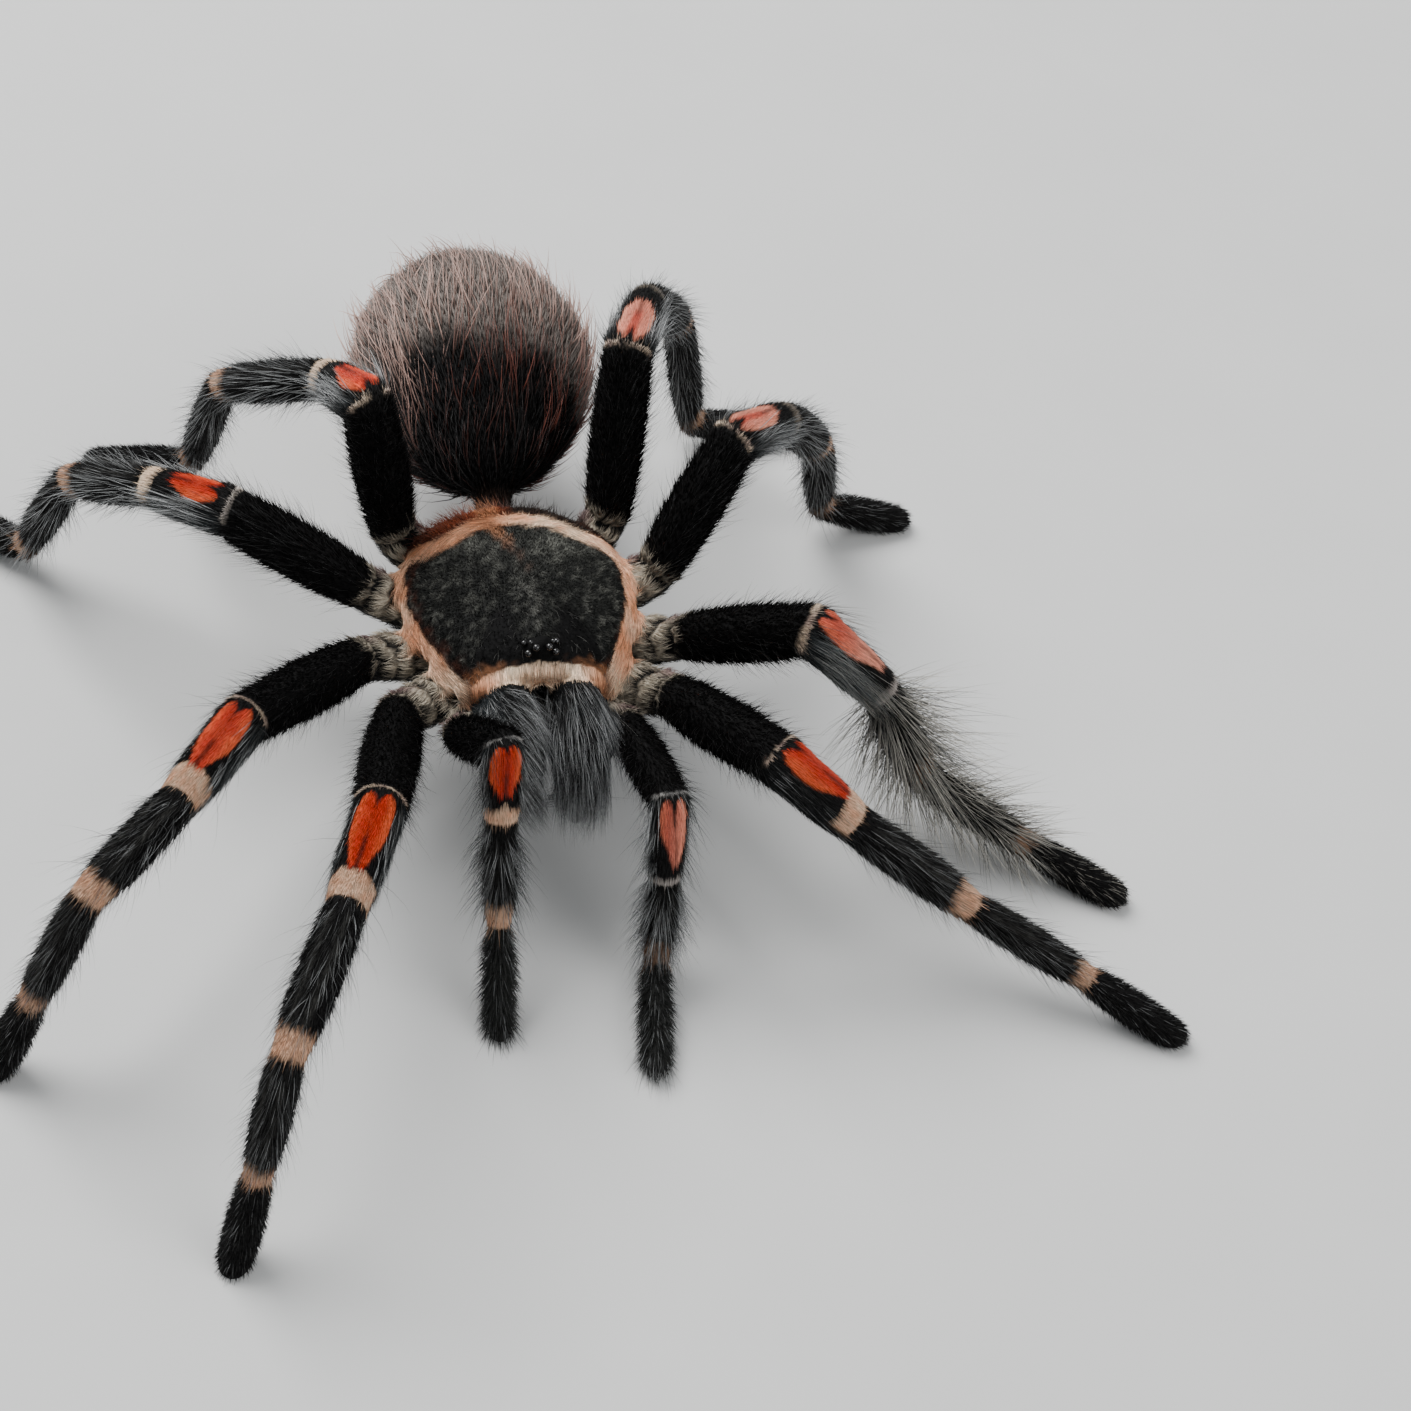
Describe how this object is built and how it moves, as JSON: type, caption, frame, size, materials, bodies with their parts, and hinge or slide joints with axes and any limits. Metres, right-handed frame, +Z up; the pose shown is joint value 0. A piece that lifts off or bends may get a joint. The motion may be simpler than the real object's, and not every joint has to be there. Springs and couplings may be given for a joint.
{
  "type": "tarantula",
  "caption": "Still life-size museum model of a red-kneed tarantula standing on all its legs and feelers, the front legs stretched forward.",
  "frame": {"origin": "middle of the part's box, on the floor under the feet", "axes": "+Z up, the head looks along -Y, the spider's own left side is +X"},
  "size_m": [0.0958, 0.0932, 0.0332],
  "materials": {
    "black_coat": "short black velvet coat with longer loose hairs",
    "grey_coat": "charcoal short coat over a horny shell",
    "tan_coat": "beige and grey-brown short coat",
    "abdomen_coat": "near-black coat under long reddish-brown hairs",
    "knee_coat": "black coat with an orange-red flame on the knee and peach rings",
    "horn": "polished dark horn",
    "eye": "wet black"
  },
  "bodies": {
    "root": {"carapace": "grey_coat", "sternum": "grey_coat", "pedicel": "grey_coat", "abdomen": "abdomen_coat", "spinneret_left": "grey_coat", "spinneret_right": "grey_coat", "chelicera_left": "grey_coat", "chelicera_right": "grey_coat", "fang_left": "horn", "fang_right": "horn", "eye_front_middle_left": "eye", "eye_front_middle_right": "eye", "eye_front_side_left": "eye", "eye_front_side_right": "eye", "eye_back_middle_left": "eye", "eye_back_middle_right": "eye", "eye_back_side_left": "eye", "eye_back_side_right": "eye", "palp_left_coxa": "tan_coat", "palp_left_femur": "black_coat", "palp_left_tibia": "knee_coat", "palp_left_tarsus": "black_coat", "leg_1_left_coxa": "tan_coat", "leg_1_left_femur": "black_coat", "leg_1_left_tibia": "knee_coat", "leg_1_left_foot": "black_coat", "leg_2_left_coxa": "tan_coat", "leg_2_left_femur": "black_coat", "leg_2_left_tibia": "knee_coat", "leg_2_left_foot": "black_coat", "leg_3_left_coxa": "tan_coat", "leg_3_left_femur": "black_coat", "leg_3_left_tibia": "knee_coat", "leg_3_left_foot": "black_coat", "leg_4_left_coxa": "tan_coat", "leg_4_left_femur": "black_coat", "leg_4_left_tibia": "knee_coat", "leg_4_left_foot": "black_coat", "palp_right_coxa": "tan_coat", "palp_right_femur": "black_coat", "palp_right_tibia": "knee_coat", "palp_right_tarsus": "black_coat", "leg_1_right_coxa": "tan_coat", "leg_1_right_femur": "black_coat", "leg_1_right_tibia": "knee_coat", "leg_1_right_foot": "black_coat", "leg_2_right_coxa": "tan_coat", "leg_2_right_femur": "black_coat", "leg_2_right_tibia": "knee_coat", "leg_2_right_foot": "black_coat", "leg_3_right_coxa": "tan_coat", "leg_3_right_femur": "black_coat", "leg_3_right_tibia": "knee_coat", "leg_3_right_foot": "black_coat", "leg_4_right_coxa": "tan_coat", "leg_4_right_femur": "black_coat", "leg_4_right_tibia": "knee_coat", "leg_4_right_foot": "black_coat"}
  },
  "joints": []
}
